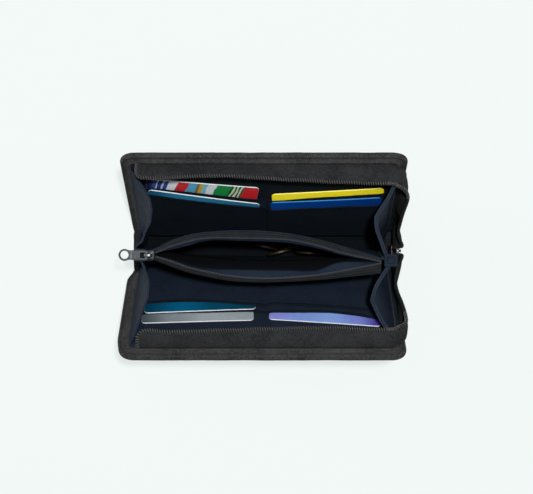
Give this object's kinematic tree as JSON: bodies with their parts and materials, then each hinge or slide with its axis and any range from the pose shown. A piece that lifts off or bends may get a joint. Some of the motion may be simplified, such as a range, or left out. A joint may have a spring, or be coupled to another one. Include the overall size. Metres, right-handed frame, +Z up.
{
  "type": "wallet",
  "caption": "Long zip-around travel wallet standing open, with padded covers, card slots, side gussets and a zipped coin pocket between two bill compartments.",
  "frame": {"origin": "middle of the underside of the spine, on the surface that the wallet stands on", "axes": "+X along the spine to the end with the main slider, +Y to the rear cover, +Z up"},
  "size_m": [0.2167, 0.1539, 0.0984],
  "materials": {
    "shell_fabric": "woven nylon, matt",
    "lining_fabric": "fine woven polyester, satin",
    "hem_fabric": "folded woven polyester",
    "zip_tape": "woven tape, matt",
    "zip_coil": "nylon coil, semi-gloss",
    "slider_metal": "gunmetal plating",
    "foam": "closed-cell foam",
    "board": "pressed board",
    "card_mixed": "printed plastic card",
    "card_teal": "printed plastic card",
    "card_yellow": "printed plastic card",
    "card_blue": "printed plastic card",
    "card_grey": "printed plastic card",
    "card_deep_teal": "printed plastic card",
    "card_lilac": "printed plastic card",
    "coin_metal": "worn coin alloy"
  },
  "bodies": {
    "root": {"spine_skin": "shell_fabric", "spine_board": "board", "spine_lining": "lining_fabric", "shut_zip_tape": "zip_tape", "shut_zip_coil": "zip_coil", "coin_pocket_floor": "lining_fabric", "coin_rear_wall": "lining_fabric", "coin_front_wall": "lining_fabric", "coin_rear_lip": "lining_fabric", "coin_front_lip": "lining_fabric", "coin_rear_tape": "zip_tape", "coin_front_tape": "zip_tape", "coin_rear_coil": "zip_coil", "coin_front_coil": "zip_coil", "coin_left_seam": "hem_fabric", "coin_right_seam": "hem_fabric", "coin_left_tab": "hem_fabric", "coin_right_tab": "hem_fabric", "left_rear_gusset": "lining_fabric", "left_front_gusset": "lining_fabric", "right_rear_gusset": "lining_fabric", "right_front_gusset": "lining_fabric", "left_rear_hem": "hem_fabric", "left_front_hem": "hem_fabric", "right_rear_hem": "hem_fabric", "right_front_hem": "hem_fabric", "coins": "coin_metal"},
    "rear_cover": {"rear_cover_skin": "shell_fabric", "rear_cover_padding": "foam", "rear_cover_board": "board", "rear_cover_lining": "lining_fabric", "rear_edge_binding": "shell_fabric", "rear_outer_slots": "lining_fabric", "rear_inner_slots": "lining_fabric", "rear_zip_tape": "zip_tape", "rear_zip_coil": "zip_coil", "rear_zip_fold": "zip_tape"},
    "front_cover": {"front_cover_skin": "shell_fabric", "front_cover_padding": "foam", "front_cover_board": "board", "front_cover_lining": "lining_fabric", "front_edge_binding": "shell_fabric", "front_outer_slots": "lining_fabric", "front_inner_slots": "lining_fabric", "front_zip_tape": "zip_tape", "front_zip_coil": "zip_coil", "front_zip_fold": "zip_tape"},
    "main_slider": {"main_slider": "slider_metal"},
    "main_pull": {"main_pull": "slider_metal"},
    "coin_slider": {"coin_slider": "slider_metal"},
    "coin_pull": {"coin_pull": "slider_metal"},
    "rear_left_outer_card": {"rear_left_outer_card": "card_mixed"},
    "rear_left_inner_card": {"rear_left_inner_card": "card_teal"},
    "rear_right_outer_card": {"rear_right_outer_card": "card_yellow"},
    "rear_right_inner_card": {"rear_right_inner_card": "card_blue"},
    "front_left_outer_card": {"front_left_outer_card": "card_grey"},
    "front_left_inner_card": {"front_left_inner_card": "card_deep_teal"},
    "front_right_outer_card": {"front_right_outer_card": "card_lilac"}
  },
  "joints": [
    {"name": "rear_cover_fold", "type": "hinge", "parent": "root", "child": "rear_cover", "pos_m": [0, 0.017, 0.0032], "axis": [1, 0, 0], "range_deg": [0, 30], "deforming": ["left_rear_gusset", "left_rear_hem", "right_rear_gusset", "right_rear_hem"]},
    {"name": "front_cover_fold", "type": "hinge", "parent": "root", "child": "front_cover", "pos_m": [0, -0.017, 0.0032], "axis": [-1, 0, 0], "range_deg": [0, 35], "deforming": ["left_front_gusset", "left_front_hem", "right_front_gusset", "right_front_hem"]},
    {"name": "main_slider_run", "type": "slide", "parent": "root", "child": "main_slider", "axis": [0, 0, 1], "range_m": [0, 0.06]},
    {"name": "main_pull_swing", "type": "hinge", "parent": "main_slider", "child": "main_pull", "pos_m": [0.1072, 0, 0.0233], "axis": [0, -1, 0], "range_deg": [0, 170]},
    {"name": "coin_slider_run", "type": "slide", "parent": "root", "child": "coin_slider", "axis": [0.9998, -0.0209, 0], "range_m": [0, 0.164], "deforming": ["coin_rear_lip", "coin_rear_tape", "coin_rear_coil", "coin_front_lip", "coin_front_tape", "coin_front_coil"]},
    {"name": "coin_pull_swing", "type": "hinge", "parent": "coin_slider", "child": "coin_pull", "pos_m": [-0.08594, -0.0032, 0.0904], "axis": [-0.0209, -0.9998, 0], "range_deg": [-180, 0]},
    {"name": "rear_left_outer_card_slide", "type": "slide", "parent": "rear_cover", "child": "rear_left_outer_card", "axis": [0, -0.5, -0.866], "range_m": [-0.017, 0]},
    {"name": "rear_left_inner_card_slide", "type": "slide", "parent": "rear_cover", "child": "rear_left_inner_card", "axis": [0, -0.5, -0.866], "range_m": [-0.029, 0]},
    {"name": "rear_right_outer_card_slide", "type": "slide", "parent": "rear_cover", "child": "rear_right_outer_card", "axis": [0, -0.5, -0.866], "range_m": [-0.029, 0]},
    {"name": "rear_right_inner_card_slide", "type": "slide", "parent": "rear_cover", "child": "rear_right_inner_card", "axis": [0, -0.5, -0.866], "range_m": [-0.033, 0]},
    {"name": "front_left_outer_card_slide", "type": "slide", "parent": "front_cover", "child": "front_left_outer_card", "axis": [0, 0.5736, -0.8192], "range_m": [-0.025, 0]},
    {"name": "front_left_inner_card_slide", "type": "slide", "parent": "front_cover", "child": "front_left_inner_card", "axis": [0, 0.5736, -0.8192], "range_m": [-0.034, 0]},
    {"name": "front_right_outer_card_slide", "type": "slide", "parent": "front_cover", "child": "front_right_outer_card", "axis": [0, 0.5736, -0.8192], "range_m": [-0.021, 0]}
  ]
}
